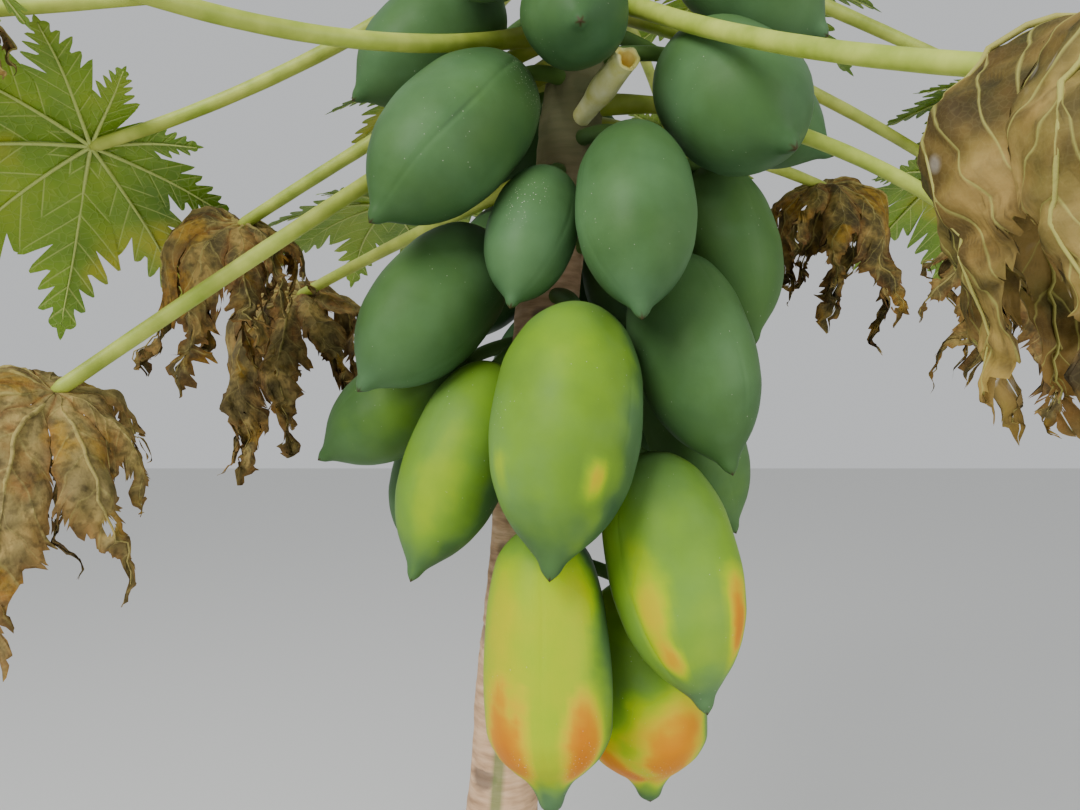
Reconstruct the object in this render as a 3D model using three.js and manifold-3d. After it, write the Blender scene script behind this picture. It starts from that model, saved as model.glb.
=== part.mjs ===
// A fruiting papaya tree: one bare, leaning trunk, a column of large fruit hung round it on short
// stalks, and a crown of palmate leaves on long petioles, the oldest of them dried and hanging.
// Millimetres, +Z up. The origin is the middle of the flat cut under the trunk, at ground level.
import * as THREE from "three";
import { mergeVertices } from "three/addons/utils/BufferGeometryUtils.js";
import Module from "manifold-3d";

const wasm = await Module();
wasm.setup();

// Driving dimensions
const CLEARANCE = 0.35; // between a stalk or petiole and the trunk
const TRUNK = {
  height: 1950,
  shaftRadius: 34,
  footSwelling: 18,
  flareSwelling: 25,
  flareHeight: 80,
  lean: 0.105, // sideways run for each millimetre of height
  bow: 7,
  bowLength: 760,
  tipLength: 330,
  tipShare: 0.42,
  sides: 16,
  rings: 20,
  ringCrowding: 1.5, // over 1, the rings stand closer near the ground
};

// Share of the way from the stalk to the tip, and radius as a share of half the girth.
const FRUIT_PROFILES = {
  plump: [
    [0, 0],
    [0.035, 0.4],
    [0.13, 0.74],
    [0.3, 0.96],
    [0.48, 1],
    [0.66, 0.87],
    [0.81, 0.57],
    [0.92, 0.23],
    [1, 0],
  ],
  blunt: [
    [0, 0],
    [0.03, 0.42],
    [0.13, 0.76],
    [0.33, 0.94],
    [0.56, 1],
    [0.72, 0.94],
    [0.8, 0.76],
    [0.87, 0.46],
    [0.93, 0.27],
    [1, 0],
  ],
};
const FRUIT_SIDES = 8;
const STALK = {
  fruitRadius: 7,
  trunkRadius: 10,
  rise: 22,
  sink: 12,
  bendShare: 0.72,
  fullSizeGirth: 100,
  sides: 5,
  steps: 2,
};
// How crowded fruits are eased apart.
const SETTLE = {
  gap: 1.5,
  rounds: 70,
  stations: 9,
  limbStations: 10,
  ease: 0.6,
  seenGive: 0.15,
  farGive: 1,
};

const PETIOLE = {
  baseRadius: 14,
  midRadius: 10,
  hubRadius: 7.5,
  swollenShare: 0.25,
  crowdedShare: 0.55,
  sides: 5,
  steps: 5,
};
const CUT_PETIOLE = { foot: 1470, turn: -67, run: 142, rise: 37, radius: 14, sides: 8 };

// The lobes of a blade: direction from the petiole's line in degrees, and share of the full reach.
const LOBES = [
  { turn: 0, share: 1 },
  { turn: 40, share: 0.96 },
  { turn: 79, share: 0.86 },
  { turn: 116, share: 0.68 },
  { turn: 150, share: 0.46 },
];
// Along one side of a lobe, as shares of its length: points of its midrib and of its edge.
const LOBE_SIDE = [
  { rib: 0.34, edgeAlong: 0.56, edgeAcross: 0.17 },
  { rib: 0.6, edgeAlong: 0.66, edgeAcross: 0.055 },
  { rib: 0.74, edgeAlong: 0.84, edgeAcross: 0.085 },
];
const SINUS_SHARE = 0.3;
const BACK_SINUS_SHARE = 0.08;
const BLADE_THICKNESS = 7;
const BLADE_THINNING = 0.25;

// How a blade hangs from its hub: slope of the midribs at the hub, for a lobe that points straight
// on, and at their tips, in degrees below the blade's own plane, the share of the reach over which
// they bend, the lobes' width, how far the sides of a lobe stand up from its midrib, and how many
// lobes there are each side.
const HABITS = {
  green: { startSlope: -6, endSlope: 38, bendShare: 1, width: 1, fold: 0.1, pairs: 4 },
  dried: { startSlope: -55, endSlope: 86, bendShare: 0.42, width: 0.9, fold: -0.3, pairs: 4 },
  near: { startSlope: -60, endSlope: 102, bendShare: 0.58, width: 1, fold: -0.1, pairs: 4 },
  shut: { startSlope: -10, endSlope: 88, bendShare: 0.3, width: 0.45, fold: -0.35, pairs: 3 },
};

// Fruits on the side that faces the viewer: the stalk's end, the tip, the girth and the profile.
const SEEN_FRUITS = [
  ["fruit_bottom_front", [124, -112, 1030], [130, -140, 742], 134, "blunt"],
  ["fruit_bottom_right", [233, -34, 956], [243, -50, 710], 142, "blunt"],
  ["fruit_low_right", [220, -94, 1110], [276, -128, 846], 138, "plump"],
  ["fruit_middle_front", [154, -118, 1264], [131, -184, 990], 150, "plump"],
  ["fruit_low_left", [58, -62, 1214], [-16, -112, 978], 114, "plump"],
  ["fruit_far_left", [44, 14, 1192], [-130, -24, 1084], 114, "plump"],
  ["fruit_middle_left", [80, -56, 1340], [-52, -138, 1160], 130, "plump"],
  ["fruit_middle_right", [252, -72, 1317], [308, -112, 1078], 128, "plump"],
  ["fruit_back_right", [299, 4, 1420], [343, -38, 1208], 118, "plump"],
  ["fruit_small_right", [262, 14, 1222], [345, -2, 1010], 110, "plump"],
  ["fruit_small_front", [116, -96, 1402], [98, -152, 1237], 94, "plump"],
  ["fruit_upper_front", [200, -97, 1426], [197, -190, 1218], 119, "plump"],
  ["fruit_upper_left", [112, -70, 1482], [-30, -170, 1306], 136, "plump"],
  ["fruit_upper_right", [214, -38, 1534], [312, -186, 1420], 146, "plump"],
  ["fruit_right_behind", [276, 76, 1580], [464, 44, 1452], 128, "plump"],
  ["fruit_top_left", [122, -28, 1618], [-36, -54, 1478], 122, "plump"],
  ["fruit_top_front", [176, -66, 1568], [172, -236, 1478], 108, "plump"],
  ["fruit_high_left", [108, -60, 1698], [32, -184, 1544], 112, "plump"],
  ["fruit_high_right", [276, -30, 1690], [433, -70, 1552], 126, "plump"],
];

// The fruits on the far side follow each other round and down the trunk by the golden section.
const FAR_FRUITS = {
  count: 10,
  topHeight: 1600,
  drop: 50,
  firstShare: 0.91,
  sectorStart: 14,
  sector: 156,
  stalkReach: 88,
  outwardRun: 95,
  fall: 215,
  girths: [112, 120, 126, 130, 134, 136],
};

// Small fruits still setting between the upper petioles.
const YOUNG_FRUITS = {
  count: 3,
  baseHeight: 1770,
  rise: 30,
  firstTurn: 90,
  turn: 150,
  stalkReach: 52,
  outwardRun: 34,
  fall: 70,
  girth: 46,
};

// Leaves whose petioles show on the side that faces the viewer: habit, height of the petiole's
// foot on the trunk, direction in degrees from +X, run out and rise to the hub, how far the
// petiole bows up, the blade's reach, how the blade is pitched down and rolled at the hub, and
// for the nearest one how far it has twisted round.
const SEEN_LEAVES = [
  ["leaf_left_green", "green", 1780, 178.5, 612, -321, -75, 275, 32, 34],
  ["leaf_left_near", "green", 1596, 215, 640, -74, -112, 260, -16, 0],
  ["leaf_left_corner", "shut", 1704, 197, 640, -180, -20, 200, 0, 0],
  ["leaf_left_dried", "dried", 1605, 171, 436, -230, 12, 290, 0, -28],
  ["leaf_left_low", "dried", 1568, 199, 546, -407, 12, 340, 0, -30],
  ["leaf_left_small", "dried", 1433, 143.2, 501, -115, 10, 370, 0, -30],
  ["leaf_right_near", "near", 1640, -62, 611, -316, -48, 335, 0, 0, -128],
  ["leaf_right_high", "green", 1735, 15, 600, -158, 4, 280, 15, 10],
  ["leaf_right_green", "green", 1625, 27, 640, -118, 40, 270, 15, -20],
  ["leaf_right_low", "dried", 1500, -8, 470, -170, 100, 255, 0, 35],
  ["leaf_right_dried", "dried", 1480, 31.3, 443, -14, 30, 300, 0, 20],
];

// The lower leaves of the far side, and the upper whorl, climb the trunk by the golden angle.
const GOLDEN_SHARE = (Math.sqrt(5) - 1) / 2;
const GOLDEN_ANGLE = 360 * (1 - GOLDEN_SHARE);
const FAR_LEAVES = {
  count: 5,
  baseHeight: 1484,
  climb: 55,
  firstShare: 0.34,
  sectorStart: 60,
  sector: 65,
  run: [560, 630],
  rise: [-60, 40],
  arch: 90,
  reach: 270,
  pitch: 12,
};
const UPPER_LEAVES = {
  count: 9,
  baseHeight: 1775,
  climb: 19,
  firstTurn: 285,
  run: [660, 250],
  rise: [70, 470],
  arch: 120,
  reach: [320, 215],
  pitch: [16, -10],
};

const COLOURS = {
  bark: 0x8a7869,
  greenFruit: 0x3f6c45,
  turningFruit: 0x86973a,
  greenLeaf: 0x5a8f35,
  driedLeaf: 0x7a5a36,
  cutPetiole: 0xd9d49a,
};
const ROUGHNESS = { bark: 0.9, fruit: 0.45, leaf: 0.6, dried: 0.85 };
const TURNING_FRUITS = new Set(["fruit_bottom_front", "fruit_bottom_right", "fruit_low_right"]);

const DEGREE = Math.PI / 180;
const UP = new THREE.Vector3(0, 0, 1);

function mix(a, b, share) {
  return a + (b - a) * share;
}

function smooth(share) {
  const s = THREE.MathUtils.clamp(share, 0, 1);
  return s * s * (3 - 2 * s);
}

// A level direction at a turn from +X, in degrees.
function heading(turn) {
  return new THREE.Vector3(Math.cos(turn * DEGREE), Math.sin(turn * DEGREE), 0);
}

// Solids

function solidOf(geometry) {
  const bare = geometry.clone();
  bare.deleteAttribute("normal");
  bare.deleteAttribute("uv");
  const merged = mergeVertices(bare, 1e-3);
  return new wasm.Manifold(
    new wasm.Mesh({
      numProp: 3,
      vertProperties: merged.attributes.position.array,
      triVerts: new Uint32Array(merged.index.array),
    }),
  );
}

// A cut can leave a loose scrap, so only the largest body of a solid is kept.
function largestBody(solid) {
  return solid.decompose().reduce((a, b) => (a.volume() > b.volume() ? a : b));
}

// A named mesh whose own origin is the point where the piece starts.
function piece(name, solid, colour, roughness, start) {
  const mesh = largestBody(solid).getMesh();
  const geometry = new THREE.BufferGeometry()
    .setAttribute("position", new THREE.BufferAttribute(mesh.vertProperties, 3))
    .setIndex(new THREE.BufferAttribute(mesh.triVerts, 1))
    .translate(-start.x, -start.y, -start.z);
  geometry.computeVertexNormals();
  const material = new THREE.MeshStandardMaterial({ color: colour, roughness, metalness: 0 });
  const part = new THREE.Mesh(geometry, material);
  part.name = name;
  part.position.copy(start);
  return part;
}

// A round limb: a cylinder laid along a curve, with its radius given by the share of the way.
function limb({ curve, radiusAt }, sides, steps) {
  const shape = new THREE.CylinderGeometry(1, 1, 1, sides, steps);
  const frames = curve.computeFrenetFrames(steps, false);
  const places = shape.attributes.position;
  for (let i = 0; i < places.count; i++) {
    const step = Math.round((places.getY(i) + 0.5) * steps);
    const radius = radiusAt(step / steps);
    const point = curve
      .getPointAt(step / steps)
      .addScaledVector(frames.normals[step], places.getX(i) * radius)
      .addScaledVector(frames.binormals[step], -places.getZ(i) * radius);
    places.setXYZ(i, point.x, point.y, point.z);
  }
  return solidOf(shape);
}

// Trunk

function trunkCentre(height) {
  const bow = TRUNK.bow * Math.sin((height / TRUNK.bowLength) * Math.PI);
  return new THREE.Vector3(TRUNK.lean * height + bow, 0, height);
}

function trunkRadius(height) {
  const above = 1 - height / TRUNK.height;
  const swelling = TRUNK.footSwelling * above * above;
  const flare = TRUNK.flareSwelling * Math.exp(-height / TRUNK.flareHeight);
  const toTip = smooth((TRUNK.height - height) / TRUNK.tipLength);
  return (TRUNK.shaftRadius + swelling + flare) * mix(TRUNK.tipShare, 1, toTip);
}

// The trunk, grown all round and at its tip by a clearance.
function trunkSolid(clearance) {
  const shape = new THREE.CylinderGeometry(1, 1, 1, TRUNK.sides, TRUNK.rings);
  shape.rotateX(Math.PI / 2);
  const places = shape.attributes.position;
  for (let i = 0; i < places.count; i++) {
    const share = places.getZ(i) + 0.5;
    const height = TRUNK.height * share ** TRUNK.ringCrowding;
    const radius = trunkRadius(height) + clearance;
    const centre = trunkCentre(height);
    const end = share > 0.99 ? clearance : 0;
    const x = centre.x + places.getX(i) * radius;
    const y = centre.y + places.getY(i) * radius;
    places.setXYZ(i, x, y, height + end);
  }
  return solidOf(shape);
}

// Fruit

function fruitRadius(fruit, share) {
  const last = fruit.profile.findIndex(([along]) => along >= share);
  const [fromShare, fromRadius] = fruit.profile[last - 1];
  const [toShare, toRadius] = fruit.profile[last];
  return (fruit.girth / 2) * mix(fromRadius, toRadius, (share - fromShare) / (toShare - fromShare));
}

// The spheres that stand for a fruit, a limb or the trunk while the fruits settle.
function fruitSpheres(fruit) {
  return Array.from({ length: SETTLE.stations }, (_, i) => {
    const share = (i + 0.5) / SETTLE.stations;
    const point = fruit.stalk.clone().lerp(fruit.tip, share);
    return { share, point, radius: fruitRadius(fruit, share) };
  });
}

function limbSpheres({ curve, radiusAt, crowdedShare }) {
  return Array.from({ length: SETTLE.limbStations }, (_, i) => {
    const share = ((i + 1) / SETTLE.limbStations) * crowdedShare;
    return { share, point: curve.getPoint(share), radius: radiusAt(share) };
  });
}

function trunkSpheres(spheres) {
  return spheres.map(({ share, point }) => {
    return { share, point: trunkCentre(point.z), radius: trunkRadius(point.z) };
  });
}

function deepestContact(spheres, others) {
  let deepest = { depth: 0 };
  for (const own of spheres) {
    for (const other of others) {
      const away = own.point.clone().sub(other.point);
      const depth = own.radius + other.radius + SETTLE.gap - away.length();
      if (depth > deepest.depth) deepest = { depth, own, other, away: away.normalize() };
    }
  }
  return deepest;
}

// Moves a fruit off by a push at one share of its length, and keeps its length.
function push(fruit, share, away, distance) {
  fruit.stalk.addScaledVector(away, distance * (1 - share));
  fruit.tip.addScaledVector(away, distance * share);
  const middle = fruit.stalk.clone().add(fruit.tip).multiplyScalar(0.5);
  const half = fruit.tip.clone().sub(fruit.stalk).setLength(fruit.length / 2);
  fruit.stalk.copy(middle).sub(half);
  fruit.tip.copy(middle).add(half);
}

// Fruits that crowd each other swing and slide apart until none presses into another, the trunk
// or a petiole. Those placed by eye give way less than the rest.
function settle(fruits, limbs) {
  const fixed = limbs.map(limbSpheres);
  for (let round = 0; round < SETTLE.rounds; round++) {
    fruits.forEach((fruit, index) => {
      for (const others of [trunkSpheres(fruitSpheres(fruit)), ...fixed]) {
        const { depth, own, away } = deepestContact(fruitSpheres(fruit), others);
        if (depth > 0) push(fruit, own.share, away, depth * SETTLE.ease);
      }
      for (const neighbour of fruits.slice(index + 1)) {
        const contact = deepestContact(fruitSpheres(fruit), fruitSpheres(neighbour));
        if (contact.depth === 0) continue;
        const yielding = fruit.give / (fruit.give + neighbour.give);
        const distance = contact.depth * SETTLE.ease;
        push(fruit, contact.own.share, contact.away, distance * yielding);
        push(neighbour, contact.other.share, contact.away, -distance * (1 - yielding));
      }
    });
  }
}

function fruitOf(name, stalk, tip, girth, profile, give) {
  const length = tip.distanceTo(stalk);
  return { name, stalk, tip, girth, profile: FRUIT_PROFILES[profile], give, length };
}

function seenFruits() {
  return SEEN_FRUITS.map(([name, stalk, tip, girth, profile]) => {
    const ends = [new THREE.Vector3(...stalk), new THREE.Vector3(...tip)];
    return fruitOf(name, ...ends, girth, profile, SETTLE.seenGive);
  });
}

// A fruit hung from the trunk by rule, at a height and a turn.
function hungFruit(name, rule, height, turn, girth) {
  const out = heading(turn);
  const stalk = trunkCentre(height).addScaledVector(out, rule.stalkReach);
  const tip = stalk.clone().addScaledVector(out, rule.outwardRun).addScaledVector(UP, -rule.fall);
  return fruitOf(name, stalk, tip, girth, "plump", SETTLE.farGive);
}

function farFruits() {
  const rule = FAR_FRUITS;
  return Array.from({ length: rule.count }, (_, i) => {
    const turn = rule.sectorStart + rule.sector * ((rule.firstShare + i * GOLDEN_SHARE) % 1);
    const girth = rule.girths[i % rule.girths.length];
    return hungFruit(`fruit_far_${i + 1}`, rule, rule.topHeight - i * rule.drop, turn, girth);
  });
}

function youngFruits() {
  const rule = YOUNG_FRUITS;
  return Array.from({ length: rule.count }, (_, i) => {
    const height = rule.baseHeight + i * rule.rise;
    return hungFruit(`fruit_young_${i + 1}`, rule, height, rule.firstTurn + i * rule.turn, rule.girth);
  });
}

// The body of a fruit, turned from its profile and laid from its stalk's end to its tip.
function fruitBody(fruit) {
  const outline = fruit.profile.map(([share, radius]) => {
    return new THREE.Vector2((radius * fruit.girth) / 2, share * fruit.length);
  });
  const along = fruit.tip.clone().sub(fruit.stalk).normalize();
  const turned = new THREE.Quaternion().setFromUnitVectors(new THREE.Vector3(0, 1, 0), along);
  const body = new THREE.LatheGeometry(outline, FRUIT_SIDES).applyQuaternion(turned);
  return solidOf(body.translate(fruit.stalk.x, fruit.stalk.y, fruit.stalk.z));
}

// The stalk leaves the trunk above the fruit's end, runs out nearly level and sinks into it.
function fruitStalk(fruit) {
  const size = Math.min(1, fruit.girth / STALK.fullSizeGirth);
  const foot = trunkCentre(fruit.stalk.z + STALK.rise * size);
  const bend = foot.clone().lerp(fruit.stalk, STALK.bendShare).setZ(foot.z);
  const end = fruit.tip.clone().sub(fruit.stalk).setLength(STALK.sink).add(fruit.stalk);
  const curve = new THREE.QuadraticBezierCurve3(foot, bend, end);
  const radiusAt = (share) => size * mix(STALK.trunkRadius, STALK.fruitRadius, share);
  return limb({ curve, radiusAt }, STALK.sides, STALK.steps);
}

// Leaves

function petioleRadius(share) {
  const swollen = 1 - smooth(share / PETIOLE.swollenShare);
  const swelling = (PETIOLE.baseRadius - PETIOLE.midRadius) * swollen;
  return mix(PETIOLE.midRadius, PETIOLE.hubRadius, share) + swelling;
}

function leafOf(name, habit, foot, turn, run, rise, arch, reach, pitch, roll, twist = 0) {
  const start = trunkCentre(foot);
  const hub = start.clone().addScaledVector(heading(turn), run).addScaledVector(UP, rise);
  const bend = start.clone().lerp(hub, 0.5).addScaledVector(UP, arch);
  const curve = new THREE.QuadraticBezierCurve3(start, bend, hub);
  const limbValues = { curve, radiusAt: petioleRadius, crowdedShare: PETIOLE.crowdedShare };
  const blade = { hub, bladeTurn: turn + twist, reach, pitch, roll };
  return { name, habit: HABITS[habit], ...blade, ...limbValues };
}

// The axes of a blade at its hub: onwards from the petiole, to its left, and out of its face.
function bladeAxes(leaf) {
  const onward = heading(leaf.bladeTurn).multiplyScalar(Math.cos(leaf.pitch * DEGREE));
  onward.addScaledVector(UP, -Math.sin(leaf.pitch * DEGREE));
  const left = heading(leaf.bladeTurn + 90).applyAxisAngle(onward, leaf.roll * DEGREE);
  return { onward, left, face: onward.clone().cross(left) };
}

// Run, fall and slope at a distance from the hub: an even bend first, then straight on. The more
// a lobe points back along the petiole, the less it rises at the hub, and the steeper its tip
// hangs, the less the tilt of the blade's own plane changes how it hangs.
function midrib({ startSlope, endSlope, bendShare }, reach, turn, tilt, distance) {
  const onwards = ((1 + Math.cos(turn * DEGREE)) / 2) ** 2;
  const start = startSlope * onwards * DEGREE;
  const end = endSlope * DEGREE - tilt * (endSlope / 90) ** 2;
  const bend = reach * bendShare;
  const curved = Math.min(distance, bend);
  const straight = distance - curved;
  const slope = mix(start, end, curved / bend);
  const radius = bend / (end - start);
  return {
    run: radius * (Math.sin(slope) - Math.sin(start)) + straight * Math.cos(end),
    fall: radius * (Math.cos(start) - Math.cos(slope)) + straight * Math.sin(end),
    slope,
  };
}

// A blade of pointed lobes round its hub. Each half lobe is a strip of faces between its midrib,
// which has a top and a bottom point at each station, and its sharp edge.
function bladeSolid(leaf) {
  const { habit, reach } = leaf;
  const axes = bladeAxes(leaf);
  const places = [];
  const faces = [];
  const addPoint = (turn, distance, across, lift) => {
    const [cos, sin] = [Math.cos(turn * DEGREE), Math.sin(turn * DEGREE)];
    const tilt = -Math.asin(axes.onward.z * cos + axes.left.z * sin);
    const { run, fall, slope } = midrib(habit, reach, turn, tilt, distance);
    const raised = lift + Math.abs(across) * habit.fold;
    const out = run + raised * Math.sin(slope);
    const point = leaf.hub
      .clone()
      .addScaledVector(axes.onward, out * cos - across * sin)
      .addScaledVector(axes.left, out * sin + across * cos)
      .addScaledVector(axes.face, raised * Math.cos(slope) - fall);
    places.push(point.x, point.y, point.z);
    return places.length / 3 - 1;
  };
  const addRib = (turn, distance, thinning) => {
    const lift = (BLADE_THICKNESS / 2) * (1 - thinning);
    return [addPoint(turn, distance, 0, lift), addPoint(turn, distance, 0, -lift)];
  };
  const pairs = LOBES.slice(1, habit.pairs + 1);
  const mirrored = pairs.map(({ turn, share }) => ({ turn: -turn, share }));
  const lobes = [...mirrored.reverse(), LOBES[0], ...pairs];
  const hub = addRib(0, 0, 0);
  const sinuses = lobes.map((lobe, i) => {
    const next = lobes[(i + 1) % lobes.length];
    const atBack = i === lobes.length - 1;
    const turn = atBack ? 180 : (lobe.turn + next.turn) / 2;
    const depth = atBack ? BACK_SINUS_SHARE : SINUS_SHARE * Math.sqrt(habit.width);
    return addPoint(turn, reach * depth * Math.min(lobe.share, next.share), 0, 0);
  });
  lobes.forEach(({ turn, share }, i) => {
    const length = reach * share;
    const ribs = LOBE_SIDE.map(({ rib }, n) => addRib(turn, length * rib, BLADE_THINNING * n));
    const tip = addPoint(turn, length, 0, 0);
    const before = sinuses[(i + lobes.length - 1) % lobes.length];
    for (const [side, sinus] of [
      [-1, before],
      [1, sinuses[i]],
    ]) {
      const edge = LOBE_SIDE.map(({ edgeAlong, edgeAcross }) => {
        return addPoint(turn, length * edgeAlong, side * length * edgeAcross * habit.width, 0);
      });
      const outer = [sinus, ...edge, tip];
      const addFaces = (a, b, c) => {
        for (const level of [0, 1]) {
          const [p, q, r] = [a, b, c].map((point) => point[level] ?? point);
          faces.push(...((level === 0) === side < 0 ? [p, q, r] : [p, r, q]));
        }
      };
      addFaces(hub, outer[0], ribs[0]);
      ribs.forEach((rib, n) => {
        addFaces(rib, outer[n], outer[n + 1]);
        addFaces(rib, outer[n + 1], ribs[n + 1] ?? tip);
      });
    }
  });
  const shape = new THREE.BufferGeometry()
    .setAttribute("position", new THREE.Float32BufferAttribute(places, 3))
    .setIndex(faces);
  return solidOf(shape);
}

function seenLeaves() {
  return SEEN_LEAVES.map((values) => leafOf(...values));
}

function farLeaves() {
  const rule = FAR_LEAVES;
  return Array.from({ length: rule.count }, (_, i) => {
    const share = i / (rule.count - 1);
    const turn = rule.sectorStart + rule.sector * ((rule.firstShare + i * GOLDEN_SHARE) % 1);
    return leafOf(
      `leaf_far_${i + 1}`,
      i === 0 ? "dried" : "green",
      rule.baseHeight + i * rule.climb,
      turn,
      mix(...rule.run, share),
      mix(...rule.rise, share),
      rule.arch,
      rule.reach,
      rule.pitch,
      0,
    );
  });
}

function upperLeaves() {
  const rule = UPPER_LEAVES;
  return Array.from({ length: rule.count }, (_, i) => {
    const share = i / (rule.count - 1);
    return leafOf(
      `leaf_upper_${i + 1}`,
      "green",
      rule.baseHeight + i * rule.climb,
      rule.firstTurn + i * GOLDEN_ANGLE,
      mix(...rule.run, share),
      mix(...rule.rise, share),
      rule.arch,
      mix(...rule.reach, share),
      mix(...rule.pitch, share),
      0,
    );
  });
}

// The foot of a petiole whose leaf was cut away.
function cutPetiole() {
  const foot = trunkCentre(CUT_PETIOLE.foot);
  const end = foot.clone().addScaledVector(heading(CUT_PETIOLE.turn), CUT_PETIOLE.run);
  end.addScaledVector(UP, CUT_PETIOLE.rise);
  const curve = new THREE.LineCurve3(foot, end);
  return { curve, radiusAt: () => CUT_PETIOLE.radius, crowdedShare: 1 };
}

// Assembly

const tree = new THREE.Group();
const fruitColumn = new THREE.Group();
const crown = new THREE.Group();
tree.add(fruitColumn, crown);

const ground = new THREE.Vector3();
tree.add(piece("trunk", trunkSolid(0), COLOURS.bark, ROUGHNESS.bark, ground));
const grownTrunk = trunkSolid(CLEARANCE);

const leaves = [...seenLeaves(), ...farLeaves(), ...upperLeaves()];
const stub = cutPetiole();
const fruits = [...seenFruits(), ...farFruits(), ...youngFruits()];
settle(fruits, [...leaves, stub]);

for (const fruit of fruits) {
  const solid = fruitBody(fruit).add(fruitStalk(fruit)).subtract(grownTrunk);
  const colour = TURNING_FRUITS.has(fruit.name) ? COLOURS.turningFruit : COLOURS.greenFruit;
  fruitColumn.add(piece(fruit.name, solid, colour, ROUGHNESS.fruit, fruit.stalk));
}

for (const leaf of leaves) {
  const isGreen = leaf.habit === HABITS.green;
  const colour = isGreen ? COLOURS.greenLeaf : COLOURS.driedLeaf;
  const roughness = isGreen ? ROUGHNESS.leaf : ROUGHNESS.dried;
  const petiole = limb(leaf, PETIOLE.sides, PETIOLE.steps).subtract(grownTrunk);
  crown.add(piece(leaf.name, petiole.add(bladeSolid(leaf)), colour, roughness, leaf.hub));
}

const stubSolid = limb(stub, CUT_PETIOLE.sides, 1).subtract(grownTrunk);
const stubEnd = stub.curve.getPoint(1);
crown.add(piece("cut_petiole", stubSolid, COLOURS.cutPetiole, ROUGHNESS.leaf, stubEnd));

export default tree;
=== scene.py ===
# The looks of a fruiting papaya tree: smooth waxy fruit that turns from green to orange, a ringed
# trunk, pale petioles, lobed green leaves with raised veins, and crumpled dried leaves.
# Shapes are worked out in millimetres, as the solids are, and turned into metres for each mesh.
import math
from types import SimpleNamespace as Values

import bpy
import numpy as np
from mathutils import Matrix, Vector


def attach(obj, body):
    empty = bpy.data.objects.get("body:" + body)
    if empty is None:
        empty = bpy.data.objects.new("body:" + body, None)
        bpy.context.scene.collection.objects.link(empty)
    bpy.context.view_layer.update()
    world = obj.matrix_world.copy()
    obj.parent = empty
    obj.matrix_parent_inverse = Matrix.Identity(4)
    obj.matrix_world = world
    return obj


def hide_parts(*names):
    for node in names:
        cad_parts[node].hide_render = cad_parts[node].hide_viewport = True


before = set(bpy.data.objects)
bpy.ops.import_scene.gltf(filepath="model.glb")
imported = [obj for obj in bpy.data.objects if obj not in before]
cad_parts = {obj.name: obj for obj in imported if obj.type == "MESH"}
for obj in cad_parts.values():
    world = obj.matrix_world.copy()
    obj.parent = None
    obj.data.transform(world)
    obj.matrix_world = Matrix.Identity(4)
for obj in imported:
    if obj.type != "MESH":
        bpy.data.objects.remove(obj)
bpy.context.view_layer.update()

METRES = 0.001
UP = np.array([0.0, 0.0, 1.0])
EAST = np.array([1.0, 0.0, 0.0])
NEARLY_UPRIGHT = 0.95
# A random field: how many waves it adds up, and their lengths as shares of its size
WAVES = 14
WAVE_SPREAD = (0.7, 1.6)
SEEDS = Values(trunk=3, fruit=100, blade=200, petiole=300)
GOLDEN_SHARE = (math.sqrt(5) - 1) / 2
GOLDEN_ANGLE = 360 * (1 - GOLDEN_SHARE)

# Camera, in metres: level, looking along +Y, at the height of the middle of the fruit column
CAMERA_PLACE = (0.118, -0.97, 1.15)
CAMERA_LENS = 27.5
CAMERA_SENSOR = 36

# Studio, in metres and watts
FLOOR_REACH = 14
FLOOR_COLOUR = (0.72, 0.72, 0.7, 1)
SKY_COLOUR = (0.86, 0.88, 0.9, 1)
SKY_STRENGTH = 0.72
LAMP_TARGET = (0.15, 0, 1.2)
# Name, place, size across and power of each lamp
LAMPS = [("key", (-1.8, -2.6, 3.4), 2.2, 165), ("fill", (2.6, -2.2, 1.8), 2.0, 45)]

# Trunk
TRUNK = Values(
    height=1950, shaft_radius=34, foot_swelling=18, flare_swelling=25, flare_height=80, lean=0.105,
    bow=7, bow_length=760, tip_length=330, tip_share=0.42,
)
TRUNK_COLUMNS = 88
TRUNK_ROWS = 560
# Bumps of the bark: height, size, how little heights count, which draws them out upright, and seed
BARK_BUMPS = [(0.9, 90, 1, 1), (0.5, 11, 0.22, 2)]
# A green streak low on the front, and bark that darkens towards the crown. Here and below, a pair
# may say where something starts or ends and the stretch over which it does so.
STREAK = Values(turn=-100, width=(9, 4), bottom=(560, 80), top=(820, 60), share=0.8)
AGED = Values(heights=(1280, 200), share=0.88)
# Leaf scars, which shrink towards the crown, with drooping sides, a rim and a ring round the trunk
SCAR = Values(
    first=60, spacing=33, stray=4, sizes=(1.15, 0.75), half_width=21, half_height=12, droop=0.45,
    depth=1.7, edge=(1.05, 0.25), dark_edge=(1.1, 0.3), darkness=(0.45, 0.9), rim_height=1.1,
    rim_at=1.2, rim_width=0.18, ring_height=0.5, ring_width=5,
)
# Height over which the bumps die away at both ends of the trunk
BARE_END = 25

# Fruit: share of the way from the stalk to the tip, and radius as a share of half the girth
FRUIT_PROFILES = {
    "plump": [
        (0, 0), (0.035, 0.4), (0.13, 0.74), (0.3, 0.96), (0.48, 1), (0.64, 0.92), (0.75, 0.76),
        (0.83, 0.56), (0.89, 0.34), (0.935, 0.18), (0.97, 0.11), (1, 0),
    ],
    "blunt": [
        (0, 0), (0.03, 0.42), (0.13, 0.76), (0.33, 0.94), (0.56, 1), (0.71, 0.97), (0.79, 0.82),
        (0.845, 0.58), (0.885, 0.36), (0.93, 0.23), (0.97, 0.16), (1, 0),
    ],
}
# How much steeper a profile leaves the stalk than its first stretch runs
ROUND_START = 1.6
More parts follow.
